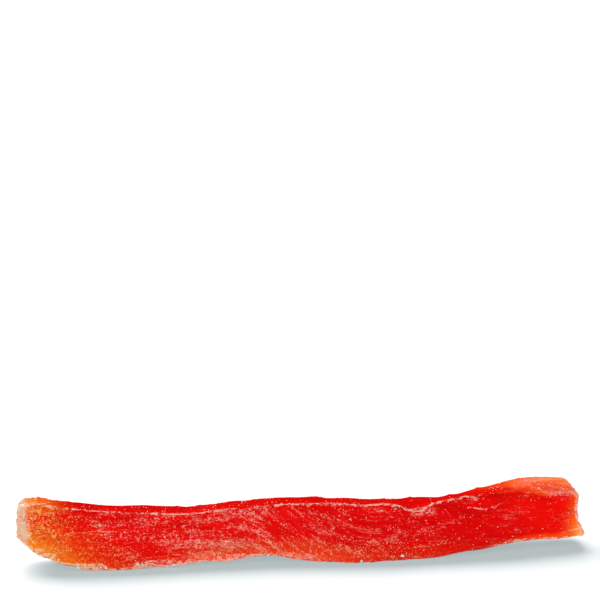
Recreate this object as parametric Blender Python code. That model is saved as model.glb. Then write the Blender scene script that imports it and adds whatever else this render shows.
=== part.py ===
# A dried papaya spear: one strip cut lengthwise from a peeled papaya, candied and dried.
# It lies on one of its two cut faces, as it would on a table. X runs along the fruit, -Y is
# the convex outer side that the peel came off, +Y is the ragged side that faced the seeds,
# and Z is up. The origin is at the middle of the strip's box, on the table.
# Written for Blender 4.5. Lengths are metres once they are multiplied by MM.

import math
from collections import namedtuple

import bmesh
import bpy
from mathutils import Vector, noise

MM = 0.001

# Driving dimensions, in millimetres
LENGTH = 128.0
SETTLE = 0.30  # the soft underside has sunk this far and is pressed flat on the table

# The strip's form at stations along its length. The share of the length comes first, and the
# rest is in millimetres: height of the lower and the upper outer edge above the table, how far
# the upper cut face rises from there to the seed side, depth from the outer side to the seed
# side, and how far the outer side swings back from the chord.
Station = namedtuple("Station", "share low high rise depth bow")
STATIONS = (
    Station(0.000, 6.6, 15.3, -0.9, 11.8, 0.0),
    Station(0.035, 3.6, 15.5, -0.9, 13.2, -1.0),
    Station(0.080, 1.7, 14.7, -0.9, 13.9, -1.8),
    Station(0.130, 0.2, 13.9, -0.9, 14.3, -2.3),
    Station(0.210, 0.0, 13.1, -0.9, 14.6, -2.6),
    Station(0.300, 0.8, 12.5, -1.2, 14.4, -2.2),
    Station(0.430, 1.6, 13.6, -1.4, 14.8, -1.8),
    Station(0.500, 0.4, 14.0, -1.3, 15.2, -3.1),
    Station(0.575, 0.0, 13.7, -1.4, 15.4, -4.5),
    Station(0.690, 0.0, 13.3, -1.6, 15.1, -4.7),
    Station(0.770, 0.8, 14.0, -2.2, 14.7, -3.8),
    Station(0.840, 1.9, 14.7, -1.5, 14.6, -2.7),
    Station(0.920, 2.4, 14.7, 0.0, 14.2, -0.9),
    Station(1.000, 2.8, 12.9, 1.4, 12.6, 0.3),
)

# Faces and edges, in millimetres
OUTER_CROWN = 0.9  # bulge of the peeled side between its two edges
SEED_HOLLOW = 0.8  # dip of the seed side between its two edges
CUT_SINK = 0.45  # how far the upper cut face has shrunk in
UNDERSIDE_SINK = 0.12  # and the lower one, which the table keeps flat
OUTER_LEAN = 1.0  # the upper outer edge stands this far behind the lower one
EDGE_SHARPNESS = {"outer_top": 17.0, "outer_low": 8.0, "seed_top": 7.0, "seed_low": 6.0}

# Ends, in millimetres
STALK_END_ROUND = 1.3
STALK_END_SLANT = 1.5  # the top of that end stands back this far
STALK_END_DOME = 1.2
BLOSSOM_END_ROUND = 1.3
BLOSSOM_END_HOLLOW = 1.5
BLOSSOM_END_TOE = 1.7  # the lower corner of that end stands out
END_REACH = 9.0  # the ends' own shape fades out this far in

# A notch where the upper outer edge has folded down: share of the length, millimetres
NOTCH_SHARE = 0.690
NOTCH_DEPTH = 1.3
NOTCH_HALF_WIDTH = 3.0

# A short fold on the outer side that leaves the upper edge near the blossom end
FOLD_SHARES = (0.76, 0.92)  # where along the length it starts and ends
FOLD_LEVEL = 12.7  # its height above the table in millimetres, and how far it falls to its end
FOLD_FALL = 0.8
FOLD_HEIGHT = 0.5
FOLD_HALF_WIDTH = 1.2

# Relief, in millimetres
LIP_HEIGHT = 0.3  # the upper outer edge has dried harder and stands up a little
WRINKLE_DEPTH = 0.55
WRINKLE_SIZE = Vector((13.0, 3.4, 2.5))
WRINKLE_SLANT = 0.9  # the wrinkles run this far along the strip for each step down
EDGE_WAVE_DEPTH = 0.34
EDGE_WAVE_SIZE = 5.2
CRAG_DEPTH = 0.95
CRAG_SIZE = Vector((4.6, 3.2, 3.0))
CUT_RIPPLE_DEPTH = 0.26
CUT_RIPPLE_SIZE = Vector((8.0, 2.4, 2.4))

# Faces of the box that the strip is shaped from
ALONG_FACES = 106
ACROSS_FACES = 14
UP_FACES = 12

# Colour and finish of the flesh
FLESH_COLOUR = (0.70, 0.035, 0.012, 1.0)
FLESH_ROUGHNESS = 0.42


def clear_scene():
    for obj in list(bpy.data.objects):
        bpy.data.objects.remove(obj)


def smooth_step(low, high, value):
    share = min(1.0, max(0.0, (value - low) / (high - low)))
    return share * share * (3.0 - 2.0 * share)


def slope_at(index, field):
    """The tangent of one field at a station, from its neighbours."""
    before = STATIONS[max(0, index - 1)]
    after = STATIONS[min(len(STATIONS) - 1, index + 1)]
    return (getattr(after, field) - getattr(before, field)) / (after.share - before.share)


def station_value(share, field):
    """One field of the form at any share of the length, on a smooth curve through the stations."""
    last = len(STATIONS) - 2
    index = max(i for i in range(last + 1) if STATIONS[i].share <= share or i == 0)
    start, end = STATIONS[index], STATIONS[index + 1]
    span = end.share - start.share
    t = (share - start.share) / span
    return (
        (2 * t**3 - 3 * t**2 + 1) * getattr(start, field)
        + (t**3 - 2 * t**2 + t) * span * slope_at(index, field)
        + (3 * t**2 - 2 * t**3) * getattr(end, field)
        + (t**3 - t**2) * span * slope_at(index + 1, field)
    )


def edge_sharpness(across, up):
    side = "outer" if across < 0 else "seed"
    return EDGE_SHARPNESS[side + ("_top" if up > 0 else "_low")]


def round_section(across, up):
    """Pulls a point of the square section onto a superellipse, whose exponent sets each edge."""
    reach = max(abs(across), abs(up))
    if reach == 0:
        return across, up
    power = edge_sharpness(across, up)
    norm = (abs(across / reach) ** power + abs(up / reach) ** power) ** (1 / power)
    return across / norm, up / norm


def round_end(inset, across, up, radius, half_size):
    """Rolls the rim of an end over a quarter circle. inset is the distance in from the end."""
    reach = max(abs(across), abs(up))
    toward_end = max(0.0, 1.0 - inset / radius)
    toward_side = max(0.0, 1.0 - (1.0 - reach) * half_size / radius)
    if toward_end == 0.0 or toward_side == 0.0:
        return inset, across, up
    norm = (toward_end**2 + toward_side**2) ** 0.5
    new_reach = 1.0 - (1.0 - toward_side / norm) * radius / half_size
    scale = new_reach / reach
    return radius * (1.0 - toward_end / norm), across * scale, up * scale


def box_point_to_strip(share, across, up):
    """Places a point of the box, given as a share along it and -1 to 1 across and up."""
    x = share * LENGTH
    at_stalk = x < LENGTH / 2
    inset = x if at_stalk else LENGTH - x
    radius = STALK_END_ROUND if at_stalk else BLOSSOM_END_ROUND
    half_size = station_value(0.0 if at_stalk else 1.0, "depth") / 2
    inset, across, up = round_end(inset, across, up, radius, half_size)
    x = inset if at_stalk else LENGTH - inset
    across, up = round_section(across, up)
    share = x / LENGTH

    low = station_value(share, "low")
    high = station_value(share, "high")
    off_notch = (x - NOTCH_SHARE * LENGTH) / NOTCH_HALF_WIDTH
    high -= NOTCH_DEPTH * smooth_step(0.5, -1.0, across) / (1.0 + off_notch**4)
    toward_seeds = (across + 1) / 2
    high += station_value(share, "rise") * toward_seeds
    low += UNDERSIDE_SINK * (1 - across**2)
    high -= CUT_SINK * (1 - across**2)
    height_share = (up + 1) / 2
    z = low + (high - low) * height_share

    belly = 1 - up**2
    front = station_value(share, "bow") + OUTER_LEAN * height_share - OUTER_CROWN * belly
    back = station_value(share, "bow") + station_value(share, "depth") - SEED_HOLLOW * belly
    y = front + (back - front) * toward_seeds

    fade = smooth_step(END_REACH, 0.0, inset)
    if at_stalk:
        x += fade * (STALK_END_SLANT * max(0.0, up) ** 2 + STALK_END_DOME * across**2)
    else:
        toe = BLOSSOM_END_TOE * max(0.0, -up) ** 2
        x += fade * (toe - BLOSSOM_END_HOLLOW * belly * (1 - 0.5 * across**2))
    return Vector((x - LENGTH / 2, y, z))


def scaled(point, size):
    return Vector((point.x / size.x, point.y / size.y, point.z / size.z))


def fold(point):
    """Height of the short fold at a point of the outer side: a crest with a gutter below it."""
    share = point.x / LENGTH + 0.5
    start, end = FOLD_SHARES
    along = (share - start) / (end - start)
    if not 0.0 < along < 1.0:
        return 0.0
    above = (point.z - FOLD_LEVEL + FOLD_FALL * along) / FOLD_HALF_WIDTH
    crest = math.exp(-(above**2))
    gutter = math.exp(-((above + 1.6) ** 2))
    return FOLD_HEIGHT * (crest - 0.7 * gutter) * math.sin(math.pi * along)


def relief(point, normal):
    """Height in millimetres of the wrinkles, waves and crags at a point that faces normal."""
    faces_out = smooth_step(0.25, 0.85, -normal.y)
    faces_seeds = smooth_step(0.2, 0.8, normal.y)
    faces_cut = smooth_step(0.4, 0.95, abs(normal.z))

    along_wrinkle = Vector((point.x + WRINKLE_SLANT * point.z, point.y, point.z))
    folds = noise.fractal(scaled(along_wrinkle, WRINKLE_SIZE), 0.8, 2.1, 3)
    wave = noise.noise(point / EDGE_WAVE_SIZE + Vector((31.0, 7.0, 3.0)))
    crag_spot = scaled(point, CRAG_SIZE) + Vector((5.0, 11.0, 2.0))
    crags = noise.turbulence(crag_spot, 3, True) - 0.5
    ripples = noise.noise(scaled(point, CUT_RIPPLE_SIZE) + Vector((2.0, 19.0, 4.0)))
    lip = max(0.0, -normal.y) * max(0.0, normal.z) * 2.0
    return (
        LIP_HEIGHT * lip
        + faces_out * fold(point)
        + WRINKLE_DEPTH * faces_out * folds
        + EDGE_WAVE_DEPTH * wave
        + CRAG_DEPTH * faces_seeds * crags
        + CUT_RIPPLE_DEPTH * faces_cut * ripples
    )


def cut_box(bm, axis, faces):
    """Cuts every edge that runs along one axis of the unit cube into equal pieces."""
    edges = [e for e in bm.edges if abs((e.verts[0].co - e.verts[1].co)[axis]) > 1e-6]
    bmesh.ops.subdivide_edges(bm, edges=edges, cuts=faces - 1, use_grid_fill=True)


def press_underside(bm):
    """Settles the strip onto the table and centres its box over the origin."""
    for v in bm.verts:
        v.co.z = max(0.0, v.co.z - SETTLE)
    for axis in (0, 1):
        side = [v.co[axis] for v in bm.verts]
        middle = (min(side) + max(side)) / 2
        for v in bm.verts:
            v.co[axis] -= middle


def flesh_material():
    material = bpy.data.materials.new("candied_papaya_flesh")
    material.use_nodes = True
    shader = material.node_tree.nodes["Principled BSDF"]
    shader.inputs["Base Color"].default_value = FLESH_COLOUR
    shader.inputs["Roughness"].default_value = FLESH_ROUGHNESS
    shader.inputs["Metallic"].default_value = 0.0
    return material


def build_spear():
    bm = bmesh.new()
    bmesh.ops.create_cube(bm, size=1.0)
    for axis, faces in enumerate((ALONG_FACES, ACROSS_FACES, UP_FACES)):
        cut_box(bm, axis, faces)
    for v in bm.verts:
        v.co = box_point_to_strip(v.co.x + 0.5, 2 * v.co.y, 2 * v.co.z)
    bm.normal_update()
    raised = [v.co + v.normal * relief(v.co, v.normal) for v in bm.verts]
    for v, co in zip(bm.verts, raised):
        v.co = co
    press_underside(bm)
    bmesh.ops.scale(bm, vec=(MM, MM, MM), verts=bm.verts)
    bmesh.ops.triangulate(bm, faces=bm.faces)

    mesh = bpy.data.meshes.new("papaya_spear")
    bm.to_mesh(mesh)
    bm.free()
    mesh.shade_smooth()
    mesh.materials.append(flesh_material())
    return bpy.data.objects.new("papaya_spear", mesh)


def main():
    clear_scene()
    parts = bpy.data.collections.new("dried_papaya")
    bpy.context.scene.collection.children.link(parts)
    parts.objects.link(build_spear())


main()
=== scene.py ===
# Dried papaya spear, dressed for Blender 4.5: wrinkled candied flesh with a bloom of sugar
import math

import bmesh
import bpy
from mathutils import Euler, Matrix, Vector


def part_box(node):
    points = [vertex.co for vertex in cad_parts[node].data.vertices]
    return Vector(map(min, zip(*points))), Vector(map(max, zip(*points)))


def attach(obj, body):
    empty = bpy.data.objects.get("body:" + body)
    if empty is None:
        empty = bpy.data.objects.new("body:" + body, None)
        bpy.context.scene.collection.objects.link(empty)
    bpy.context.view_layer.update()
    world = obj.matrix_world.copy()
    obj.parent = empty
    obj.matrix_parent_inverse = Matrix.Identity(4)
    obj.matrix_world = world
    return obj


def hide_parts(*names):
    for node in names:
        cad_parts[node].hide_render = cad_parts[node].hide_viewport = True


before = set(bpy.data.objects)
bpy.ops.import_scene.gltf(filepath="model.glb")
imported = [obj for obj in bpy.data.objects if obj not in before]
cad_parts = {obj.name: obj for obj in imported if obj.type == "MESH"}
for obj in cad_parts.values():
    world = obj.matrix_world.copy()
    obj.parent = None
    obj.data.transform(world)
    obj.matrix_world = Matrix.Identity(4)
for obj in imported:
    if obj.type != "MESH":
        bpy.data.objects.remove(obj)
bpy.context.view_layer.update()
print("frame loaded")

mm = 0.001
strip = "papaya_spear"
stripLow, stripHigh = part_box(strip)
stalkEnd, blossomEnd = stripLow.x / mm, stripHigh.x / mm
noiseMiddle = 0.5  # noise runs from 0 to 1 round this level


def feed(tree, socket, value):
    if isinstance(value, bpy.types.NodeSocket):
        tree.links.new(value, socket)
    else:
        socket.default_value = value


def addNode(tree, kind, inputs=None, **settings):
    node = tree.nodes.new(kind)
    for name, value in settings.items():
        setattr(node, name, value)
    for name, value in (inputs or {}).items():
        feed(tree, node.inputs[name], value)
    return node


def calc(tree, operation, *values):
    node = addNode(tree, "ShaderNodeMath", operation=operation)
    for socket, value in zip(node.inputs, values):
        feed(tree, socket, value)
    return node.outputs[0]


def chain(tree, operation, values):
    result = values[0]
    for value in values[1:]:
        result = calc(tree, operation, result, value)
    return result


def product(tree, *values):
    return chain(tree, "MULTIPLY", values)


def add(tree, *values):
    return chain(tree, "ADD", values)


def largest(tree, *values):
    return chain(tree, "MAXIMUM", values)


def minus(tree, first, second):
    return calc(tree, "SUBTRACT", first, second)


def apart(tree, first, second):
    return calc(tree, "ABSOLUTE", minus(tree, first, second))


def vectorCalc(tree, operation, *values):
    node = addNode(tree, "ShaderNodeVectorMath", operation=operation)
    for socket, value in zip(node.inputs, values):
        feed(tree, socket, value)
    return node.outputs["Value" if operation == "DOT_PRODUCT" else "Vector"]


def scaleVector(tree, vector, factor):
    node = addNode(tree, "ShaderNodeVectorMath", operation="SCALE")
    feed(tree, node.inputs[0], vector)
    feed(tree, node.inputs["Scale"], factor)
    return node.outputs["Vector"]


# 0 at "low" and 1 at "high", or other levels, and smooth between; low may be the larger
def ramp(tree, value, low, high, toLow=0.0, toHigh=1.0):
    limits = {"Value": value, "From Min": low, "From Max": high, "To Min": toLow, "To Max": toHigh}
    node = addNode(tree, "ShaderNodeMapRange", limits, interpolation_type="SMOOTHSTEP")
    return node.outputs["Result"]


# A smooth curve through (value, level) pairs, level 0 to 1
def profile(tree, value, pairs):
    low, high = pairs[0][0], pairs[-1][0]
    share = calc(tree, "DIVIDE", minus(tree, value, low), high - low)
    node = addNode(tree, "ShaderNodeFloatCurve", {"Value": share})
    curve = node.mapping.curves[0]
    while len(curve.points) < len(pairs):
        curve.points.new(0.5, 0.5)
    for spot, (at, level) in zip(curve.points, pairs):
        spot.location = ((at - low) / (high - low), level)
    node.mapping.update()
    return node.outputs[0]


def axes(tree, vector):
    node = addNode(tree, "ShaderNodeSeparateXYZ", {0: vector})
    return node.outputs[0], node.outputs[1], node.outputs[2]


def joinAxes(tree, x, y, z):
    node = addNode(tree, "ShaderNodeCombineXYZ", {0: x, 1: y, 2: z})
    return node.outputs[0]


# Noise whose lumps measure "size" millimetres along X, Y and Z
def lumps(tree, point, size, detail=2.0, roughness=0.5, distortion=0.0, offset=0.0):
    spot = vectorCalc(tree, "DIVIDE", point, Vector(size))
    spot = vectorCalc(tree, "ADD", spot, Vector((offset, offset * 0.7, offset * 1.3)))
    values = {"Vector": spot, "Scale": 1.0, "Detail": detail, "Roughness": roughness}
    node = addNode(tree, "ShaderNodeTexNoise", values, noise_dimensions="3D")
    feed(tree, node.inputs["Distortion"], distortion)
    return node.outputs[0]


# The wrinkles slide down the outer side between these two places along the strip, in mm
flow = {"from": -20.0, "to": 14.0, "drop": 17.0}


def flowPoint(tree, point):
    x, y, z = axes(tree, point)
    slide = ramp(tree, x, flow["from"], flow["to"], 0.0, flow["drop"])
    return joinAxes(tree, x, y, add(tree, z, slide))


def newTree(name, numbers):
    tree = bpy.data.node_groups.new(name, "GeometryNodeTree")
    tree.interface.new_socket("Geometry", in_out="INPUT", socket_type="NodeSocketGeometry")
    for label, value in numbers.items():
        kind = "NodeSocketInt" if isinstance(value, int) else "NodeSocketFloat"
        socket = tree.interface.new_socket(label, in_out="INPUT", socket_type=kind)
        socket.default_value = value
    tree.interface.new_socket("Material", in_out="INPUT", socket_type="NodeSocketMaterial")
    tree.interface.new_socket("Geometry", in_out="OUTPUT", socket_type="NodeSocketGeometry")
    return tree, tree.nodes.new("NodeGroupInput").outputs


def endTree(tree, geometry, material):
    plain = addNode(tree, "GeometryNodeRealizeInstances", {"Geometry": geometry}).outputs[0]
    done = addNode(tree, "GeometryNodeSetMaterial", {"Geometry": plain, "Material": material})
    out = tree.nodes.new("NodeGroupOutput")
    tree.links.new(done.outputs[0], out.inputs[0])


# Runs a tree on a mesh and returns the result as a plain object of its own
def growMesh(name, mesh, tree, values, material, before=()):
    carrier = bpy.data.objects.new(name + ".carrier", mesh)
    bpy.context.scene.collection.objects.link(carrier)
    for kind, settings in before:
        modifier = carrier.modifiers.new(kind.lower(), kind)
        for key, value in settings.items():
            setattr(modifier, key, value)
    modifier = carrier.modifiers.new("nodes", "NODES")
    modifier.node_group = tree
    for item in tree.interface.items_tree:
        if item.in_out == "INPUT" and item.name in values:
            modifier[item.identifier] = values[item.name]
        elif item.in_out == "INPUT" and item.name == "Material":
            modifier[item.identifier] = material
    depsgraph = bpy.context.evaluated_depsgraph_get()
    evaluated = carrier.evaluated_get(depsgraph)
    grown = bpy.data.meshes.new_from_object(
        evaluated, preserve_all_data_layers=True, depsgraph=depsgraph
    )
    grown.name = name
    bpy.data.objects.remove(carrier)
    piece = bpy.data.objects.new(name, grown)
    bpy.context.scene.collection.objects.link(piece)
    return piece


def triangles(mesh):
    mesh.calc_loop_triangles()
    return len(mesh.loop_triangles)


# Masks, heights and layers of colour are rows of conditions in the tables below, and a row's
# conditions are multiplied. Each is a number, the name of a fact, "not" and a name, or (fact,
# none at, full at), with the levels there if they aren't 0 and 1. In the last, the fact may be
# (name, spread), which the wander noise moves to and fro by up to half the spread, or (name,
# spread, mask, amount), which is shifted by that amount as well where the mask is 1.
def movedFact(tree, at, fact):
    if isinstance(fact, str):
        return at[fact]
    name, spread, *shift = fact
    value = add(tree, at[name], product(tree, at["wander"], spread))
    if shift:
        mask, amount = shift
        value = add(tree, value, product(tree, at[mask], amount))
    return value


def strength(tree, at, conditions):
    parts = []
    for condition in conditions:
        if isinstance(condition, float):
            parts.append(condition)
        elif isinstance(condition, str):
            name = condition.removeprefix("not ")
            parts.append(at[name] if name == condition else minus(tree, 1.0, at[name]))
        else:
            fact, *limits = condition
            parts.append(ramp(tree, movedFact(tree, at, fact), *limits))
    return product(tree, *parts)


# Works out a table of facts in its order: a "product" is one row, and other rows are joined
def addFacts(tree, at, table):
    joins = {"sum": "ADD", "largest": "MAXIMUM"}
    for name, (how, *rows) in table.items():
        if how == "product":
            at[name] = strength(tree, at, rows)
        else:
            at[name] = chain(tree, joins[how], [strength(tree, at, row) for row in rows])


def addNoise(tree, at, patterns):
    for name, (where, *shape) in patterns.items():
        at[name] = lumps(tree, at[where], *shape)


flesh = {
    "voxel": 0.3 * mm,  # the solid is remeshed this fine before it gets its relief
    "smoothing": 10,
    "smoothingShare": 0.5,
    "edgeBlur": 8,  # edges are what stands out of surroundings that are blurred this often
    "Wrinkle depth": 0.36,
    "Squiggle depth": 0.12,
    "Pimple depth": 0.3,
    "Pimple reach": 19.0,
    "pimplesFull": 2.0,  # they grow from their reach to this far from the end
    "Crag depth": 0.8,
    "Cut ripple depth": 0.2,
    "Lip height": 0.20,
    "Fold height": 0.42,
    "Fold level": 12.0,  # how far up the outer side the short fold near the blossom end lies
    "foldSwing": 5.0,  # how far its line wanders up and down
    "gutterDrop": 1.1,  # how far below its crest its gutter runs
    "Stalk corner": 0.7,  # how far the upper corner at the stalk end is filled out
    "Blossom rise": 0.4,  # how far the top swells near the blossom end
}

# Noise behind the relief: where it is read, the size of its lumps in mm along X, Y and Z, and
# its detail, roughness, distortion and offset. The stream follows the wrinkles.
reliefNoise = {
    "wander": ("point", (2.2, 2.0, 2.0), 2.0, 0.6, 0.5, 61.0),
    "long": ("stream", (9.0, 5.0, 1.9), 3.0, 0.55, 0.6, 0.0),
    "fine": ("stream", (2.2, 1.2, 0.85), 2.0, 0.6, 0.8, 7.0),
    "bumps": ("point", (0.95, 0.95, 0.95), 1.0, 0.5, 0.0, 3.0),
    "craggy": ("point", (2.6, 1.6, 1.4), 4.0, 0.6, 0.7, 13.0),
    "ripple": ("point", (7.0, 1.6, 2.0), 3.0, 0.55, 0.3, 21.0),
    "ragged": ("point", (1.8, 1.2, 1.2), 2.0, 0.6, 0.4, 31.0),
    "foldWave": ("onAxis", (7.0, 7.0, 7.0), 1.0, 0.5, 0.0, 4.0),
}

# Which side a point is on, by the way it faces (nx, ny, nz), and the shapes of the relief
reliefFacts = {
    "facesOut": ("product", ("ny", -0.12, -0.4)),
    "outer": ("product", ("ny", -0.25, -0.8)),
    "seeds": ("product", ("ny", 0.2, 0.7)),
    "top": ("product", ("nz", 0.45, 0.9)),
    "under": ("product", ("nz", -0.45, -0.9)),
    "ends": ("product", ("endwise", 0.45, 0.85)),
    # the outer side's upper and lower edges, and its edge at the blossom end
    "ridge": ("product", (("nz", 0.5), 0.6, 0.72), (("nz", 0.5), 0.97, 0.89), "facesOut"),
    "stalkPart": ("product", ("x", -38.0, -52.0)),
    "foot": ("product", (("nz", 0.0, "stalkPart", -0.2), -0.34, -0.6), "facesOut"),
    "brink": ("product", ("nx", 0.25, 0.5), "facesOut"),
    "plainEdge": ("product", ("standOut", 0.03, 0.11)),
    # long slack wrinkles, thin crests between wide dips, with finer ones on them
    "sharpCrest": ("sum", (1.0,), ("offCrest", -6.0)),
    "crest": ("largest", ("sharpCrest",), (-0.6,)),
    "squiggle": ("sum", ("fine",), (-0.5,)),
    "inFlow": ("product", ("x", -22.0, -12.0), ("x", 18.0, 8.0)),
    "slack": ("product", ("x", 20.0, 48.0, 1.0, 0.35), ("inFlow", 0.0, 1.0, 1.0, 0.72)),
    # pimples at the stalk end, crags on the seed side and the ends, ripples on the cut faces
    "pimple": ("product", ("bumps", 0.45, 0.72), "atStalk"),
    "crag": ("sum", ("craggy",), (-0.52,)),
    "rough": ("largest", ("seeds",), ("ends", 0.7)),
    "cutRipple": ("sum", ("ripple",), (-0.5,)),
    "cuts": ("sum", ("top",), ("under",)),
    "lipParts": ("sum", ("ragged", 2.4), (-0.7,)),
    # a short fold that leaves the upper edge near the blossom end and runs on below it
    "onFold": ("product", ("x", 33.0, 37.0), ("x", 53.0, 46.0), "outer"),
    "foldCrest": ("product", ("offFold", 0.75, 0.0), "onFold"),
    "foldGutter": ("product", ("offGutter", 1.0, 0.0), "onFold"),
    "foldShape": ("sum", ("foldCrest",), ("foldGutter", -0.6)),
    "edge": ("largest", ("plainEdge",), ("foldCrest", 0.75)),
    # two places where the outline is filled out
    "corner": ("product", ("nx", -0.15, -0.6), ("nz", 0.15, 0.6), ("fromStalk", 7.0, 3.0)),
    "rise": ("product", ("x", 52.5, 58.5), ("x", 64.0, 61.0), "top"),
}

# What the relief adds up from, in mm
reliefHeights = (
    ("crest", "Wrinkle depth", "outer", "slack"),
    ("squiggle", "Squiggle depth", 2.0, "outer", "slack"),
    ("pimple", "Pimple depth"),
    ("crag", "Crag depth", 2.0, "rough"),
    ("cutRipple", "Cut ripple depth", 2.0, "cuts"),
    ("plainEdge", "Lip height", "lipParts"),
    ("foldShape", "Fold height"),
    ("corner", "Stalk corner"),
    ("rise", "Blossom rise"),
)

# Kept on the mesh for the colours and the sugar; "lift" is the height of the relief
storedMasks = ("edge", "lift", "pimple", "outer", "seeds", "top", "ends", "ridge", "foot", "brink")


# How far a point stands out of its blurred surroundings: high on edges, low in folds
def standOut(tree, point, normal):
    blur = addNode(
        tree, "GeometryNodeBlurAttribute", {"Iterations": flesh["edgeBlur"]}, data_type="FLOAT_VECTOR"
    )
    feed(tree, [s for s in blur.inputs if s.type == "VECTOR" and s.enabled][0], point)
    blurred = [s for s in blur.outputs if s.type == "VECTOR"][0]
    return vectorCalc(tree, "DOT_PRODUCT", vectorCalc(tree, "SUBTRACT", point, blurred), normal)


def fleshTree():
    numbers = {key: value for key, value in flesh.items() if key[0].isupper()}
    tree, given = newTree("fleshRelief", numbers)
    position = tree.nodes.new("GeometryNodeInputPosition").outputs[0]
    normal = tree.nodes.new("GeometryNodeInputNormal").outputs[0]
    point = scaleVector(tree, position, 1 / mm)
    x, _, z = axes(tree, point)
    at = {label: given[label] for label in numbers}
    at.update(zip(("nx", "ny", "nz"), axes(tree, normal)))
    at.update({"point": point, "stream": flowPoint(tree, point), "x": x})
    at["onAxis"] = joinAxes(tree, x, 0.0, 0.0)
    addNoise(tree, at, reliefNoise)
    at["wander"] = minus(tree, at["wander"], noiseMiddle)
    at["offCrest"] = apart(tree, at["long"], noiseMiddle)
    at["endwise"] = calc(tree, "ABSOLUTE", at["nx"])
    at["standOut"] = standOut(tree, point, normal)
    at["fromStalk"] = minus(tree, x, stalkEnd)
    at["atStalk"] = ramp(tree, at["fromStalk"], given["Pimple reach"], flesh["pimplesFull"])
    swing = product(tree, minus(tree, at["foldWave"], noiseMiddle), flesh["foldSwing"])
    overFold = minus(tree, z, add(tree, given["Fold level"], swing))
    at["offFold"] = calc(tree, "ABSOLUTE", overFold)
    at["offGutter"] = calc(tree, "ABSOLUTE", add(tree, overFold, flesh["gutterDrop"]))
    addFacts(tree, at, reliefFacts)
    at["lift"] = add(tree, *[strength(tree, at, row) for row in reliefHeights])

    push = scaleVector(tree, normal, product(tree, at["lift"], mm))
    mx, my, mz = axes(tree, vectorCalc(tree, "ADD", position, push))
    grounded = joinAxes(tree, mx, my, largest(tree, mz, 0.0))
    geometry = given["Geometry"]
    for name in storedMasks:
        store = addNode(
            tree, "GeometryNodeStoreNamedAttribute", {"Geometry": geometry, "Name": name},
            data_type="FLOAT", domain="POINT",
        )
        feed(tree, store.inputs["Value"], at[name])
        geometry = store.outputs[0]
    shaped = addNode(tree, "GeometryNodeSetPosition", {"Geometry": geometry, "Position": grounded})
    softened = addNode(tree, "GeometryNodeSetShadeSmooth", {"Geometry": shaped.outputs[0]})
    endTree(tree, softened.outputs[0], given["Material"])
    return tree


def mergedCopy(nodeName):
    bm = bmesh.new()
    bm.from_mesh(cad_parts[nodeName].data)
    bmesh.ops.remove_doubles(bm, verts=bm.verts, dist=0.002 * mm)
    mesh = bpy.data.meshes.new(nodeName + ".merged")
    bm.to_mesh(mesh)
    bm.free()
    return mesh


def paint(red, green, blue):
    def linear(value):
        share = value / 255
        return share / 12.92 if share <= 0.04045 else ((share + 0.055) / 1.055) ** 2.4

    return (linear(red), linear(green), linear(blue), 1.0)


fleshColours = {
    "red": paint(240, 12, 7),
    "deepRed": paint(222, 4, 5),
    "brightRed": paint(248, 12, 6),
    # painted shade: the upper face's darker red
    "topRed": paint(198, 4, 4),
    "topFibre": paint(218, 14, 6),
    "strand": paint(240, 92, 28),
    "redOrange": paint(238, 54, 14),
    "orange": paint(243, 54, 6),
    "amber": paint(250, 118, 14),
    # painted glow: orange standing in for light coming through thin flesh
    "glow": paint(246, 88, 24),
    "peach": paint(250, 150, 92),
    # red between the stalk end's pimples, partly painted shade
    "hollow": paint(226, 26, 8),
    "cream": paint(255, 190, 100),
    # sugar haze and bloom colours, also laid as painted glints
    "haze": paint(232, 86, 78),
    "bloom": paint(247, 150, 136),
    "lowBloom": paint(255, 148, 106),
    # pale edge colours: sugar, and also painted highlights on the ridge and pimples and painted light
    # on the shaded lower edge
    "edgeCrest": paint(248, 170, 154),
    "footCrest": paint(255, 178, 160),
    "tipCrest": paint(246, 198, 156),
    "pale": paint(232, 200, 170),
    "veil": paint(222, 184, 162),
    # bright specks of sugar, also painted glints
    "speck": paint(246, 218, 198),
}

# Noise behind the colours, laid out as in reliefNoise
colourNoise = {
    "wander": ("point", (6.0, 5.0, 4.0), 3.0, 0.6, 0.5, 5.0),
    "grain": ("point", (0.42, 0.42, 0.42), 2.0, 0.65, 0.0, 51.0),
    "blotches": ("point", (1.6, 1.3, 1.1), 3.0, 0.6, 0.8, 15.0),
    "broad": ("stream", (16.0, 8.0, 5.0), 2.0, 0.5, 0.4, 9.0),
    "strands": ("point", (4.5, 0.8, 0.7), 3.0, 0.6, 0.8, 93.0),
    "fibreNoise": ("point", (8.0, 0.7, 0.7), 2.0, 0.6, 0.3, 97.0),
    "mottle": ("point", (0.55, 0.55, 0.55), 2.0, 0.6, 0.5, 91.0),
    "pools": ("point", (4.5, 2.0, 2.0), 2.0, 0.6, 0.5, 107.0),
    "glowStreaks": ("point", (5.0, 1.0, 0.8), 3.0, 0.6, 0.4, 109.0),
    "patches": ("stream", (10.0, 6.0, 1.5), 3.0, 0.6, 0.7, 17.0),
    "gaps": ("point", (3.0, 2.5, 2.2), 3.0, 0.6, 0.6, 119.0),
    "threads": ("stream", (6.0, 4.0, 1.3), 2.0, 0.5, 0.6, 71.0),
    "threadPlaces": ("stream", (9.0, 6.0, 3.0), 2.0, 0.5, 0.5, 81.0),
    "cloud": ("point", (2.8, 3.4, 2.8), 3.0, 0.65, 0.8, 127.0),
    "dustNoise": ("point", (1.0, 0.6, 0.5), 3.0, 0.65, 0.4, 41.0),
    "ridgeBreaks": ("point", (3.0, 2.0, 2.0), 2.0, 0.6, 0.5, 111.0),
    "rimPatches": ("point", (2.0, 2.2, 2.4), 2.0, 0.6, 0.6, 113.0),
    "drifts": ("point", (7.0, 3.0, 3.0), 3.0, 0.6, 0.5, 101.0),
}
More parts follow.
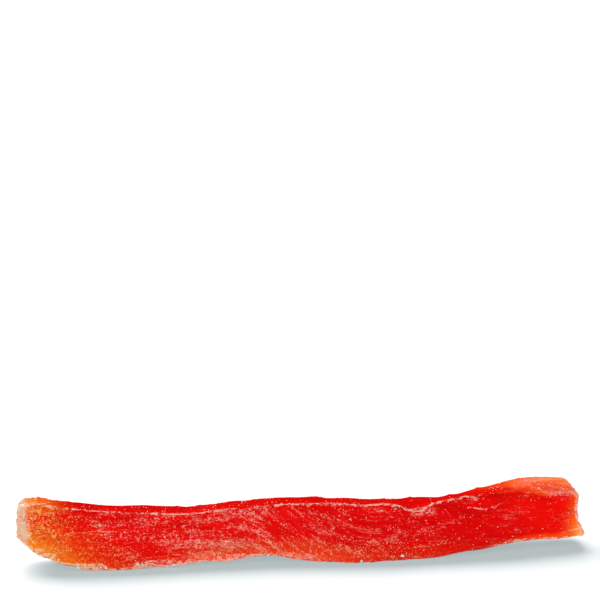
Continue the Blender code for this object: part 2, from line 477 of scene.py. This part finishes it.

# Levels along the strip, as (mm from its middle, level): how orange the thin lower edge is and how
# strongly a painted glow lights it, and how thickly the sugar lies on the outer side and on its two
# edges, where the marks and pale edges are also painted glints, highlights and light
levels = {
    "lowLight": (
        (-64.0, 0.5), (-45.0, 0.4), (-30.0, 0.7), (-20.0, 1.0), (-2.0, 1.0), (6.0, 0.7),
        (14.0, 0.55), (24.0, 0.3), (36.0, 0.25), (64.0, 0.25),
    ),
    "upperSugar": (
        (-64.0, 0.1), (-55.0, 0.08), (-51.0, 0.0), (-46.0, 0.27), (-35.0, 0.16), (-24.0, 0.29),
        (-12.0, 0.26), (0.0, 0.16), (10.0, 0.11), (21.0, 0.07), (33.0, 0.02), (64.0, 0.02),
    ),
    "lowerSugar": (
        (-64.0, 0.12), (-52.0, 0.12), (-40.0, 0.25), (-28.0, 0.42), (-18.0, 0.56), (-6.0, 0.45),
        (6.0, 0.27), (16.0, 0.24), (26.0, 0.23), (36.0, 0.08), (48.0, 0.03), (64.0, 0.02),
    ),
    "ridgeSugar": (
        (-64.0, 0.2), (-54.0, 0.26), (-47.0, 0.5), (-40.0, 0.32), (-30.0, 0.4), (-15.0, 0.5),
        (-4.0, 0.65), (8.0, 0.75), (22.0, 1.0), (30.0, 1.0), (36.0, 0.7), (41.0, 0.15), (64.0, 0.07),
    ),
    "footSugar": (
        (-64.0, 0.66), (-56.0, 0.66), (-50.0, 0.78), (-42.0, 1.0), (-30.0, 0.95), (-12.0, 0.7),
        (2.0, 0.4), (20.0, 0.3), (38.0, 0.25), (46.0, 0.65), (58.0, 0.75), (64.0, 0.5),
    ),
}

# Specks of dried sugar, also painted glints: spacing and size in mm, and the share of places that
# have one
speckKinds = {"sand": (0.55, 0.3, 0.3), "dots": (0.8, 0.24, 0.35), "brightDots": (2.2, 0.34, 0.34)}
speckEdge = (1.3, 0.6)  # a speck fades in between these shares of its radius

# Short marks of dried sugar, which on the outer side are also painted glints: where they are read,
# how thickly they lie and how large they are
sugarMarks = {
    "marks": ("stream", "cover", 0.85),
    "stalkMarks": ("squashed", "stalkCover", 0.62),
    "tipMarks": ("point", "tipCover", 0.8),
    "endMarks": ("point", "endCover", 0.8),
}
sugarPlacement = {
    "squash": (1.3, 1.0, 0.7),  # makes the marks at the stalk end rounder
    "knot": (25.2, 11.3),  # mm along the strip and above the table, where sugar fills the notch
    "streakHeight": 10.9,  # mm above the table, for one longer pale streak near the stalk end
}

# What the colours go by. Places are in mm; stalk and rim count from the two ends, with a ragged
# front that leans.
colourFacts = {
    "stalk": ("sum", ("fromStalk",), ("z", 1.1), ("wander", 10.0), ("blotches", 13.0), (-6.5,)),
    "rim": ("sum", ("fromBlossom",), ("z", 0.24), (-0.72,), ("wander", 2.0)),
    "middle": ("product", ("x", -24.0, 12.0), ("x", 56.0, 34.0)),
    "arched": ("product", ("x", -28.0, -19.0), ("x", 10.0, 1.0)),
    "inFlow": ("product", ("x", -24.0, -14.0), ("x", 20.0, 8.0)),
    "beforeNotch": ("product", ("x", 10.0, 18.0), ("x", 38.0, 30.0)),
    "nearBlossom": ("product", ("fromBlossom", 24.0, 6.0)),
    "fibres": ("product", ("fibreNoise", 0.4, 0.62)),
    "dusty": ("product", ("dustNoise", 0.4, 0.6)),
    "toBack": ("product", (("y", 7.0), -4.0, 7.0)),
    "outward": ("product", (("y", 9.0), 5.0, -4.0, 0.35, 1.0)),
    # deeper red in broad patches and the middle, and on the upper face, where it is painted shade
    "depth": ("sum", (("broad", 0.35, 0.65), 0.4), ("middle", 0.5), ("top", 0.4)),
    "shoulder": (
        "product", (("z", 3.0, "nearBlossom", 1.5), 13.9, 15.0), ("fromBlossom", 29.0, 18.0),
        "not seeds", ("glowStreaks", 0.36, 0.6, 0.5, 1.0),
    ),
    "topEnd": (
        "product", ("fromBlossom", 27.0, 12.0), ("top", 0.2, 0.9), ("fibres", 0.0, 1.0, 0.45, 1.0),
    ),
    "upperEnd": ("largest", ("shoulder",), ("topEnd",)),

    # how thickly sugar, with its painted glints, lies on the outer side
    "upperHalf": ("product", (("z", 5.0, "beforeNotch", -1.2), 3.0, 9.0)),
    "along": ("sum", ("upperSugar", "upperHalf"), ("lowerSugar", "not upperHalf")),
    "patchy": ("product", ("patches", 0.36, 0.64, -0.35, 0.5)),
    "change": (
        "sum", ("patchy",), (("lift", -0.15, 0.3, -0.12, 0.15),),
        (("gaps", 0.4, 0.6, -0.24, 0.14), "inFlow"),
    ),
    "streak": (
        "product", ("offStreak", 1.1, 0.3), ("x", -54.0, -48.0), ("x", -32.0, -40.0), 0.36,
    ),
    "onOuter": ("sum", ("along",), ("change", ("along", 0.0, 0.4, 0.2, 1.0)), ("streak",)),
    "blossomTop": ("product", ("fromBlossom", 26.0, 12.0), ("z", 11.0, 13.5)),
    "cover": (
        "sum", ("onOuter", ("outer", 0.0, 1.0, 0.2, 1.0)), ("blossomTop", "patchy"),
        ("blossomTop", 0.32),
    ),
    # how thickly it lies low in the middle, at the stalk end, on its tip and at the blossom end
    "lowBand": (
        "product", (("z", 4.0), 6.5, 3.0), "outer", ("x", -22.0, -10.0), ("x", 32.0, 0.0),
    ),
    "stalkCover": ("largest", (("stalk", 29.0, 16.0, 0.0, 0.45),), ("lowBand", 0.5)),
    "tipCover": (
        "product", (("fromStalk", 4.0), 3.6, 0.6, 0.0, 1.15), ("ends", 0.85, 1.0, 1.0, 0.6),
        ("outward", 0.35, 1.0, 0.7, 1.0),
    ),
    "endCover": ("product", "ends", ("fromBlossom", 6.0, 3.0), 0.45),
    "sandShare": ("largest", (("cover", 0.05, 0.45, 0.0, 0.65),), ("lowBand", 0.62)),

    # edges that are pale with sugar, and with painted highlights on the ridge and painted light on the
    # shaded lower edge
    "ridgeParts": ("largest", (("ridgeBreaks", 0.42, 0.56, 0.3, 1.0),), (("x", -6.0, 8.0),)),
    "bareEdge": (
        "product", ("x", 36.0, 41.0), ("z", 11.5, 13.0), 0.9, ("fromBlossom", 2.5, 7.0),
    ),
    "crest": (
        "largest",
        # painted highlight along the ridge, with sugar
        ("ridge", "ridgeSugar", "ridgeParts", 1.35),  # the upper outer edge
        # painted light on the shaded lower edge, with sugar
        ("foot", "footSugar"),  # the lower one, and where it arches
        (("x", -25.0, -19.0), ("x", 2.0, -5.0), "outer", (("z", 1.0), 3.3, 2.1),
         ("grain", 0.4, 0.55, 0.3, 1.0), 0.75),
        ("brink",),  # the outer side's edges at the two ends
        (("fromStalk", 1.4, 0.3), ("grain", 0.45, 0.55, 0.0, 0.8),
         ("rimPatches", 0.38, 0.6, 0.35, 1.0)),
        (("edge", 0.3, 0.85), 0.6, "not bareEdge"),  # every other edge that stands out
    ),
    "dustyCrest": ("sum", ("crest", "dusty"), ("crest", 0.22)),
    "dust": ("product", ("dustyCrest", 0.2, 0.7, 0.0, 0.9)),

    # painted glow: emission where the flesh is thin, standing in for light coming through it
    "lit": ("largest", ("lowLight",), (0.45,)),
    "thin": (
        "largest",
        (("z", 4.5, 0.8), ("outer", 0.0, 0.6), "lit"),
        ("ends", ("fromBlossom", 12.0, 6.0, 0.0, 0.7)),
        (("rim", 6.5, 2.0), ("outer", 0.0, 0.6), 0.8),
        (("fromBlossom", 26.0, 10.0), ("z", 5.2, 3.0), "outer", 0.7),
        ("shoulder", "not top", 0.5),
    ),
}

# Colours mixed from two others: the second shows as strongly as the conditions say
fleshBlends = {
    "flesh": ("red", "deepRed", "depth"),
    "upperFace": ("topRed", "topFibre", "fibres"),
    "blossomFace": ("brightRed", "redOrange", ("lift", -0.25, 0.2)),
    "redSugar": ("bloom", "lowBloom", ("z", 8.0, 2.0)),
    "sugar": ("redSugar", "cream", ("stalk", 32.0, 20.0, 0.0, 0.9)),
    "grainySugar": ("cream", "lowBloom", ("x", -40.0, -26.0)),
    "redCrest": ("edgeCrest", "footCrest", "foot"),
    "crest": ("redCrest", "tipCrest", ("stalk", 32.0, 20.0, 0.0, 0.8)),
}

# Colours laid over the flesh in this order, each as strongly as its conditions say
fleshLayers = (
    # painted shade: deeper red in the dips of the relief and on the upper face, and more orange on the
    # high parts of the craggy seed side; orange strands on that side, fibres on the upper face
    ("deepRed", ("lift", 0.0, -0.16, 0.0, 0.5)),
    ("redOrange", "seeds", ("lift", -0.25, 0.3, 0.1, 0.9)),
    ("strand", ("strands", 0.52, 0.64), "seeds", ("lift", -0.2, 0.1, 0.0, 0.8)),
    ("brightRed", ("fromBlossom", 18.0, 6.0), ("seeds", 0.6, 0.1)),
    ("upperFace", "top", 0.85),
    ("redOrange", (("z", 6.0, "arched", -2.6), 4.2, 0.8, 0.0, 0.9), "lowLight"),
    # the stalk end: orange, then amber, with red hollows between its pimples that are partly painted
    # shade, and cream pimple tops that are painted highlights
    ("orange", ("stalk", 27.0, 16.0)),
    ("amber", ("stalk", 20.0, 11.0), ("z", 12.0, 6.5, 0.35, 1.0)),
    ("amber", (("fromStalk", 9.0), 13.0, 5.0), (("z", 4.0), 13.0, 14.6), 0.75),
    ("hollow", ("stalk", 30.0, 20.0), ("z", 5.0, 11.0, 0.1, 0.92), ("top", 0.0, 1.0, 1.0, 0.6),
     ("fromStalk", 1.0, 5.0, 0.3, 1.0), ("mottle", 0.55, 0.49)),
    # cream on the pimples near the upper edge: painted highlights with some sugar
    ("tipCrest", (("fromStalk", 5.0), 5.5, 1.5), ("z", 11.8, 13.6),
     ("pimple", 0.1, 0.7, 0.12, 0.6), ("grain", 0.4, 0.56, 0.3, 1.0)),
    # the blossom end: painted glow, orange and amber where light would come through its thin rim
    ("glow", ("rim", 7.6, 2.8)),
    ("amber", ("rim", 5.0, 1.6, 0.0, 0.95)),
    # painted glow on its shoulder and the end of its upper face as well, paler towards the back corner
    ("redOrange", "shoulder", 0.8),
    ("glow", "shoulder", ("fromBlossom", 22.0, 8.0, 0.1, 0.6)),
    ("redOrange", "topEnd", ("toBack", 0.0, 0.5, 0.1, 0.9)),
    ("glow", "topEnd", ("toBack", 0.5, 1.0, 0.0, 0.9)),
    ("peach", "topEnd", ("toBack", 0.35, 1.0), ("fromBlossom", 19.0, 7.0), 0.85,
     ("pools", 0.36, 0.58, 0.35, 1.0)),
    ("tipCrest", (("fromBlossom", 2.0), 3.6, 0.8), ("z", 10.5, 13.0), 0.5),
    ("peach", "upperEnd", ("grain", 0.46, 0.58, 0.2, 1.0), ("fromBlossom", 11.0, 4.0), 0.3),
    # painted glow on its lower outer edge too, most at the very tip, and in cream on the rim of its
    # seed side
    ("glow", (("z", 3.0), 4.3, 2.8), ("fromBlossom", 23.0, 9.0), "outer", 0.75),
    ("cream", ("rim", 4.0, 1.6), ("z", 9.0, 3.5), 0.35),
    ("cream", ("y", 2.0, 5.0), ("top", 1.0, 0.4), ("z", 8.0, 11.0), ("seeds", 0.75, 0.3),
     ("ends", 0.6, 0.1), ("fromBlossom", 30.0, 16.0), 0.9),
    ("blossomFace", "ends", ("fromBlossom", 6.0, 3.5), ("wander", -0.12, 0.1, 0.75, 1.0)),
    # dried sugar on the outer side: a haze, short marks, and thin threads along the wrinkles, which
    # also stand in for glints as painted highlights
    ("haze", ("cover", 0.4, 0.9, 0.0, 0.42), ("grain", 0.4, 0.54, 0.0, 1.0)),
    ("sugar", "marks", 0.85),
    ("sugar", ("offThread", 0.036, 0.008), ("threadPlaces", 0.48, 0.6), "outer",
     ("grain", 0.42, 0.56, 0.1, 1.0), ("cover", 0.0, 0.4, 0.45, 1.0), 0.5),
    # the stalk end and the low part of the middle are grainy, and the stalk's tip is pale
    ("grainySugar", "stalkMarks", ("z", 7.5, 11.5, 0.6, 0.95)),
    # cream on the pimples' tops: painted highlights
    ("cream", ("pimple", 0.35, 0.8), ("z", 3.0, 10.0, 0.2, 0.75), ("grain", 0.42, 0.56, 0.15, 1.0)),
    ("veil", (("fromStalk", 3.0), 2.2, 0.2, 0.0, 0.85), ("cloud", 0.36, 0.6, 0.3, 1.0), "outward"),
    ("pale", "tipMarks", 0.85),
    # pale edges of sugar with painted highlights and light, the knot of sugar in the notch, and the
    # blossom end's rim and face
    ("crest", "dust"),
    ("bloom", ("alongKnot", 3.4, 1.4), ("aboveKnot", 1.3, 0.5), ("y", -5.5, -7.0),
     ("dusty", 0.1, 0.7), ("grain", 0.4, 0.55, 0.5, 1.0), 0.9),
    ("edgeCrest", (("fromBlossom", 2.0), 1.4, 0.3, 0.0, 0.8), ("ends", 1.0, 0.4, 0.0, 1.0)),
    ("lowBloom", "endMarks", 0.6),
    # specks of sugar, also painted glints
    ("sugar", "sand", "sandShare", "outer"),
    ("bloom", "dots", ("x", 24.0, 44.0, 1.0, 0.45), ("drifts", 0.42, 0.6, 0.15, 1.0), 0.6),
    ("speck", "brightDots", ("x", 24.0, 44.0, 1.0, 0.45), 0.85),
)

# How dull and grainy the surface is, and how strongly the painted glow (emission) stands in for light
# showing through it
surface = {
    "bareRoughness": 0.3,
    "sugarRoughness": 0.62,
    "grainRoughness": 0.16,
    "grainHeight": 0.7,
    "markHeight": 0.5,
    "stalkMarkHeight": 0.7,
    "bumpStrength": 0.6,
    "bumpDistance": 0.12 * mm,
    "coat": 0.02,
    "paintedGlowStrength": 0.8,
}

# What is the same all over the flesh, set on the shader itself
fleshFinish = {
    "Subsurface Weight": 0.25,
    "Subsurface Radius": (1.0, 0.1, 0.06),
    "Subsurface Scale": 2.0 * mm,
    "Coat Roughness": 0.25,
    "Specular IOR Level": 0.0,
    # painted glow: emission strength for light shown coming through thin flesh
    "Emission Strength": 0.35,
}


def newMaterial(name, finish):
    material = bpy.data.materials.new(name)
    material.use_nodes = True
    tree = material.node_tree
    shader = tree.nodes["Principled BSDF"]
    for label, value in finish.items():
        shader.inputs[label].default_value = value
    return material, tree, shader


def objectPoint(tree):
    where = addNode(tree, "ShaderNodeTexCoord").outputs["Object"]
    return scaleVector(tree, where, 1 / mm)


def mixColour(tree, factor, first, second):
    node = addNode(tree, "ShaderNodeMix", data_type="RGBA")
    feed(tree, node.inputs["Factor"], factor)
    feed(tree, node.inputs[6], first)
    feed(tree, node.inputs[7], second)
    return node.outputs[2]


bloomNoise = {
    "blob": ("spot", (0.75, 0.65, 0.55), 1.0, 0.5, 1.3, 2.0),
    "worm": ("spot", (1.15, 1.05, 0.85), 0.0, 0.5, 1.1, 33.0),
    "wormPatch": ("spot", (1.5, 1.3, 1.1), 2.0, 0.6, 0.5, 47.0),
    "fading": ("spot", (2.3, 1.6, 1.1), 1.0, 0.5, 0.0, 29.0),
}
# Blobs and worms lie where noise is over a limit, and the limit falls as the cover rises
bloomFacts = {
    "overBlob": ("sum", ("blob",), (-0.69,), ("cover", 0.16)),
    "overWorm": ("sum", ("wormPatch",), (-0.73,), ("cover", 0.32)),
    "worms": ("product", ("offWorm", 0.095, 0.06), ("overWorm", 0.0, 0.06)),
    "either": ("largest", (("overBlob", 0.0, 0.03),), ("worms",)),
    "mask": ("product", "either", ("fading", 0.35, 0.62, 0.5, 1.0), ("cover", 0.0, 0.08)),
}


# Short squiggly marks of dried sugar, also used as painted glints; "Cover" sets how thickly they lie
def bloomGroup():
    tree = bpy.data.node_groups.new("sugarBloom", "ShaderNodeTree")
    tree.interface.new_socket("Point", in_out="INPUT", socket_type="NodeSocketVector")
    for label, value in (("Cover", 0.5), ("Mark size", 1.0)):
        socket = tree.interface.new_socket(label, in_out="INPUT", socket_type="NodeSocketFloat")
        socket.default_value = value
    tree.interface.new_socket("Mask", in_out="OUTPUT", socket_type="NodeSocketFloat")
    given = tree.nodes.new("NodeGroupInput").outputs
    at = {"cover": given["Cover"]}
    at["spot"] = vectorCalc(tree, "DIVIDE", given["Point"], given["Mark size"])
    addNoise(tree, at, bloomNoise)
    at["offWorm"] = apart(tree, at["worm"], noiseMiddle)
    addFacts(tree, at, bloomFacts)
    out = tree.nodes.new("NodeGroupOutput")
    tree.links.new(at["mask"], out.inputs[0])
    return tree


def bloomMarks(tree, bloom, point, cover, size):
    marks = addNode(tree, "ShaderNodeGroup", node_tree=bloom)
    for label, value in (("Point", point), ("Cover", cover), ("Mark size", size)):
        feed(tree, marks.inputs[label], value)
    return marks.outputs["Mask"]


# Round specks, one in each cell of a scatter, and only in a share of the cells
def specks(tree, point, spacing, size, share):
    spot = vectorCalc(tree, "DIVIDE", point, Vector((spacing,) * 3))
    cells = addNode(tree, "ShaderNodeTexVoronoi", {"Vector": spot, "Scale": 1.0, "Randomness": 1.0})
    radius = size / spacing / 2
    outside, inside = speckEdge
    dot = ramp(tree, cells.outputs["Distance"], radius * outside, radius * inside)
    pick, _, _ = axes(tree, cells.outputs["Color"])
    return product(tree, dot, calc(tree, "LESS_THAN", pick, share))


def gatherFacts(tree, bloom):
    point = objectPoint(tree)
    x, y, z = axes(tree, point)
    at = {"point": point, "stream": flowPoint(tree, point), "x": x, "y": y, "z": z}
    for name in storedMasks:
        at[name] = addNode(tree, "ShaderNodeAttribute", attribute_name=name).outputs["Fac"]
    addNoise(tree, at, colourNoise)
    at["wander"] = minus(tree, at["wander"], noiseMiddle)
    for name, pairs in levels.items():
        at[name] = profile(tree, x, pairs)
    at["fromStalk"] = minus(tree, x, stalkEnd)
    at["fromBlossom"] = minus(tree, blossomEnd, x)
    for name, value, place in zip(("alongKnot", "aboveKnot"), (x, z), sugarPlacement["knot"]):
        at[name] = apart(tree, value, place)
    at["offThread"] = apart(tree, at["threads"], noiseMiddle)
    at["offStreak"] = apart(tree, movedFact(tree, at, ("z", 2.0)), sugarPlacement["streakHeight"])
    addFacts(tree, at, colourFacts)
    at["squashed"] = vectorCalc(tree, "MULTIPLY", point, sugarPlacement["squash"])
    for name, (where, cover, size) in sugarMarks.items():
        at[name] = bloomMarks(tree, bloom, at[where], at[cover], size)
    at["marks"] = product(tree, at["marks"], ramp(tree, at["cover"], 0.0, 0.5, 0.5, 1.0))
    for name, (spacing, size, share) in speckKinds.items():
        at[name] = specks(tree, point, spacing, size, share)
    return at


def fleshMaterial(bloom):
    material, tree, shader = newMaterial("candiedFlesh", fleshFinish)
    at = gatherFacts(tree, bloom)
    colours = dict(fleshColours)
    for name, (first, second, *conditions) in fleshBlends.items():
        share = strength(tree, at, conditions)
        colours[name] = mixColour(tree, share, colours[first], colours[second])
    colour = colours["flesh"]
    for name, *conditions in fleshLayers:
        colour = mixColour(tree, strength(tree, at, conditions), colour, colours[name])
    feed(tree, shader.inputs["Base Color"], colour)

    dull = largest(tree, at["marks"], at["dust"])
    roughness = ramp(tree, dull, 0.0, 1.0, surface["bareRoughness"], surface["sugarRoughness"])
    roughness = add(tree, roughness, product(tree, at["grain"], surface["grainRoughness"]))
    feed(tree, shader.inputs["Roughness"], roughness)
    coat = product(tree, minus(tree, 1.0, dull), at["outer"], surface["coat"])
    feed(tree, shader.inputs["Coat Weight"], coat)

    height = add(
        tree,
        product(tree, at["grain"], surface["grainHeight"]),
        product(tree, at["marks"], surface["markHeight"]),
        product(tree, at["stalkMarks"], surface["stalkMarkHeight"]),
    )
    strengths = {"Strength": surface["bumpStrength"], "Distance": surface["bumpDistance"]}
    bump = addNode(tree, "ShaderNodeBump", {"Height": height, **strengths})
    feed(tree, shader.inputs["Normal"], bump.outputs[0])

    # painted glow: the flesh's own colour sent out as emission where it is thin, in place of light
    # through it
    paintedGlowAmount = product(tree, at["thin"], surface["paintedGlowStrength"])
    paintedGlowColour = mixColour(tree, paintedGlowAmount, paint(0, 0, 0), colour)
    feed(tree, shader.inputs["Emission Color"], paintedGlowColour)
    return material


# The colours and the shape of a sugar crystal, and how crystals differ
crystal = {
    "white": paint(252, 244, 238),
    "pink": paint(246, 196, 180),
    "tintNoise": ((1.6, 1.6, 1.6), 2.0),
    "tintRange": (0.35, 0.65),
    "roughness": (0.3, 0.7, 0.25, 0.5),  # by the same noise, as (from, to, level, level)
    "lumpNoise": ((0.4, 0.4, 0.4), 1.0, 0.5, 0.0, 8.0),
    "lumpiness": 1.6,
    "leastStretch": (0.6, 0.6, 0.6),
    "mostStretch": (1.4, 1.2, 1.1),
    "mostTurn": (6.28, 6.28, 6.28),
    "seeds": (5, 6, 7),  # for size, stretch and turn
    "noneBelow": 0.6,  # as a share of the height above which crystals are kept
}
crystalFinish = {
    "Subsurface Weight": 0.3,
    "Subsurface Radius": (1.0, 0.8, 0.7),
    "Subsurface Scale": 0.3 * mm,
}


def sugarMaterial():
    material, tree, shader = newMaterial("sugarCrystal", crystalFinish)
    tint = lumps(tree, objectPoint(tree), *crystal["tintNoise"])
    pinkness = ramp(tree, tint, *crystal["tintRange"])
    colour = mixColour(tree, pinkness, crystal["white"], crystal["pink"])
    feed(tree, shader.inputs["Base Color"], colour)
    feed(tree, shader.inputs["Roughness"], ramp(tree, tint, *crystal["roughness"]))
    return material


# Loose sugar on the flesh: fine grains all over, and crumbs along the lower outer edge
grains = {
    "Per square mm": 2.4,
    "Smallest": 0.12,
    "Largest": 0.28,
    "Edge share": 0.8,
    "Face share": 0.07,
    "Foot share": 0.5,
    "Tip share": 0.45,
    "Keep above": 0.5,
    "Roundness": 1,
    "Seed": 11,
}

crumbs = {
    "Per square mm": 1.6,
    "Smallest": 0.3,
    "Largest": 0.75,
    "Edge share": 0.0,
    "Face share": 0.0,
    "Foot share": 1.0,
    "Tip share": 0.02,
    "Keep above": 0.35,
    "Roundness": 2,
    "Seed": 23,
}


def randomBetween(tree, low, high, seed):
    kind = "FLOAT_VECTOR" if isinstance(low, tuple) else "FLOAT"
    wanted = "VECTOR" if isinstance(low, tuple) else "VALUE"
    node = addNode(tree, "FunctionNodeRandomValue", data_type=kind)
    limits = [s for s in node.inputs if s.enabled and s.type == wanted and s.name in ("Min", "Max")]
    feed(tree, limits[0], low)
    feed(tree, limits[1], high)
    feed(tree, node.inputs["Seed"], seed)
    return [s for s in node.outputs if s.enabled and s.type == wanted][0]


# A lumpy crystal one millimetre across
def crystalShape(tree, roundness):
    ball = addNode(tree, "GeometryNodeMeshIcoSphere", {"Radius": 0.5 * mm, "Subdivisions": roundness})
    position = tree.nodes.new("GeometryNodeInputPosition").outputs[0]
    lump = lumps(tree, scaleVector(tree, position, 1 / mm), *crystal["lumpNoise"])
    outwards = product(tree, minus(tree, lump, noiseMiddle), crystal["lumpiness"])
    push = scaleVector(tree, position, outwards)
    bumpy = addNode(tree, "GeometryNodeSetPosition", {"Geometry": ball.outputs["Mesh"], "Offset": push})
    return bumpy.outputs[0]


# Where the loose sugar lies, with the shares that grains and crumbs have on each kind of place
sugarNoise = {"clumps": ("point", (5.0, 3.0, 3.0), 3.0, 0.6, 0.5, 61.0)}
sugarPlaces = {
    "patches": ("product", ("clumps", 0.42, 0.66)),
    "share": (
        "largest",
        (("edge", 0.2, 0.7), "patches", "Edge share"),
        ("foot", ("x", -18.0, -34.0, 0.05, 1.0), ("x", -57.0, -50.0, 0.2, 1.0), "patches",
         "Foot share"),
        ("Face share", ("patches", 0.0, 1.0, 0.3, 1.0)),
        (("x", stalkEnd + 3.5, stalkEnd + 0.8), "Tip share"),
    ),
}


def sugarTree(name, values):
    tree, given = newTree(name, values)
    position = tree.nodes.new("GeometryNodeInputPosition").outputs[0]
    point = scaleVector(tree, position, 1 / mm)
    x, _, z = axes(tree, point)
    at = {label: given[label] for label in values}
    at.update({"point": point, "x": x})
    for mask in ("edge", "foot"):
        stored = addNode(tree, "GeometryNodeInputNamedAttribute", {"Name": mask}, data_type="FLOAT")
        at[mask] = stored.outputs[0]
    addNoise(tree, at, sugarNoise)
    addFacts(tree, at, sugarPlaces)
    lowest = product(tree, given["Keep above"], crystal["noneBelow"])
    aboveTable = ramp(tree, z, lowest, given["Keep above"])
    density = product(tree, at["share"], aboveTable, given["Per square mm"], 1 / mm**2)
    scatter = addNode(
        tree, "GeometryNodeDistributePointsOnFaces",
        {"Mesh": given["Geometry"], "Density": density, "Seed": given["Seed"]},
        distribute_method="RANDOM",
    )
    sizeSeed, stretchSeed, turnSeed = crystal["seeds"]
    size = randomBetween(tree, given["Smallest"], given["Largest"], sizeSeed)
    stretch = randomBetween(tree, crystal["leastStretch"], crystal["mostStretch"], stretchSeed)
    turn = randomBetween(tree, (0.0, 0.0, 0.0), crystal["mostTurn"], turnSeed)
    sockets = {
        "Points": scatter.outputs["Points"],
        "Instance": crystalShape(tree, given["Roundness"]),
        "Scale": scaleVector(tree, stretch, size),
    }
    placed = addNode(tree, "GeometryNodeInstanceOnPoints", sockets)
    feed(tree, placed.inputs["Rotation"], turn)
    endTree(tree, placed.outputs[0], given["Material"])
    return tree


stageFacts = {
    "floorSize": 24.0,
    "floorDrop": 0.05 * mm,  # keeps the floor just under the strip's flat underside
    "worldColour": (0.75, 0.97, 1.0, 1.0),
    "worldStrength": 0.24,
}
floorFinish = {
    "Base Color": paint(247, 242, 242),
    "Roughness": 0.9,
    "Specular IOR Level": 0.1,
    "Emission Color": (1.0, 1.0, 1.0, 1.0),
    "Emission Strength": 0.10,
}

cameraFacts = {
    "aim": (0.0, 0.0, 6.8 * mm),
    "azimuth": -9.5,  # degrees round the strip, and above the table
    "elevation": 14.0,
    "distance": 0.55,
    "imageWidth": 600,
    "focalPixels": 2430,
    "aimAtPixel": (305.5, 526.5),  # where the aim point lies in the image
    "sensorWidth": 36.0,
    "clip": (0.01, 20.0),
}

# name: (direction it comes from, colour, strength, how wide it looks in degrees)
lights = {
    "keyBehind": ((-0.22, 0.62, 0.75), (1.0, 0.99, 0.98), 3.2, 54.0),
    "frontFill": ((-0.30, -0.90, 0.26), (0.84, 1.0, 1.0), 2.25, 74.0),
}


def makeFloor():
    bm = bmesh.new()
    bmesh.ops.create_grid(bm, x_segments=1, y_segments=1, size=stageFacts["floorSize"] / 2)
    bmesh.ops.translate(bm, vec=(0.0, 0.0, -stageFacts["floorDrop"]), verts=bm.verts)
    mesh = bpy.data.meshes.new("floor")
    bm.to_mesh(mesh)
    bm.free()
    mesh.materials.append(newMaterial("paleFloor", floorFinish)[0])
    floor = bpy.data.objects.new("floor", mesh)
    bpy.context.scene.collection.objects.link(floor)


def makeLights():
    for name, (place, colour, strength, width) in lights.items():
        data = bpy.data.lights.new(name, "SUN")
        data.color = colour
        data.energy = strength
        data.angle = math.radians(width)
        light = bpy.data.objects.new(name, data)
        light.location = place
        light.rotation_mode = "QUATERNION"
        light.rotation_quaternion = (-Vector(place)).to_track_quat("-Z", "Y")
        bpy.context.scene.collection.objects.link(light)
    world = bpy.data.worlds.new("softWhite")
    world.use_nodes = True
    background = world.node_tree.nodes["Background"]
    background.inputs["Color"].default_value = stageFacts["worldColour"]
    background.inputs["Strength"].default_value = stageFacts["worldStrength"]
    bpy.context.scene.world = world


def makeCamera():
    facts = cameraFacts
    aim = Vector(facts["aim"])
    around, above = math.radians(facts["azimuth"]), math.radians(facts["elevation"])
    back = Vector((
        math.sin(around) * math.cos(above), -math.cos(around) * math.cos(above), math.sin(above)
    ))
    data = bpy.data.cameras.new("camera")
    data.sensor_width = facts["sensorWidth"]
    data.lens = facts["focalPixels"] / facts["imageWidth"] * data.sensor_width
    data.clip_start, data.clip_end = facts["clip"]
    camera = bpy.data.objects.new("camera", data)
    camera.location = aim + back * facts["distance"]
    middle = facts["imageWidth"] / 2
    right = math.atan((facts["aimAtPixel"][0] - middle) / facts["focalPixels"])
    down = math.atan((facts["aimAtPixel"][1] - middle) / facts["focalPixels"])
    camera.rotation_mode = "QUATERNION"
    look = (-back).to_track_quat("-Z", "Y")
    camera.rotation_quaternion = look @ Euler((down, right, 0.0)).to_quaternion()
    bpy.context.scene.collection.objects.link(camera)
    bpy.context.scene.camera = camera


makeCamera()
makeLights()
makeFloor()
print("camera, lights and floor ready")

candied = fleshMaterial(bloomGroup())
before = (
    ("REMESH", {"mode": "VOXEL", "voxel_size": flesh["voxel"]}),
    ("SMOOTH", {"factor": flesh["smoothingShare"], "iterations": flesh["smoothing"]}),
)
spear = growMesh("spearFlesh", mergedCopy(strip), fleshTree(), flesh, candied, before)
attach(spear, "root")
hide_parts(strip)
spear.visible_diffuse = False  # keeps its red light off the floor
print("flesh", triangles(spear.data), "triangles")

crystalline = sugarMaterial()
for name, values in (("sugarGrains", grains), ("sugarCrumbs", crumbs)):
    sugar = growMesh(name, spear.data.copy(), sugarTree(name + "Tree", values), values, crystalline)
    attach(sugar, "root")
    print(name, triangles(sugar.data), "triangles")

bpy.context.scene.view_settings.view_transform = "Standard"
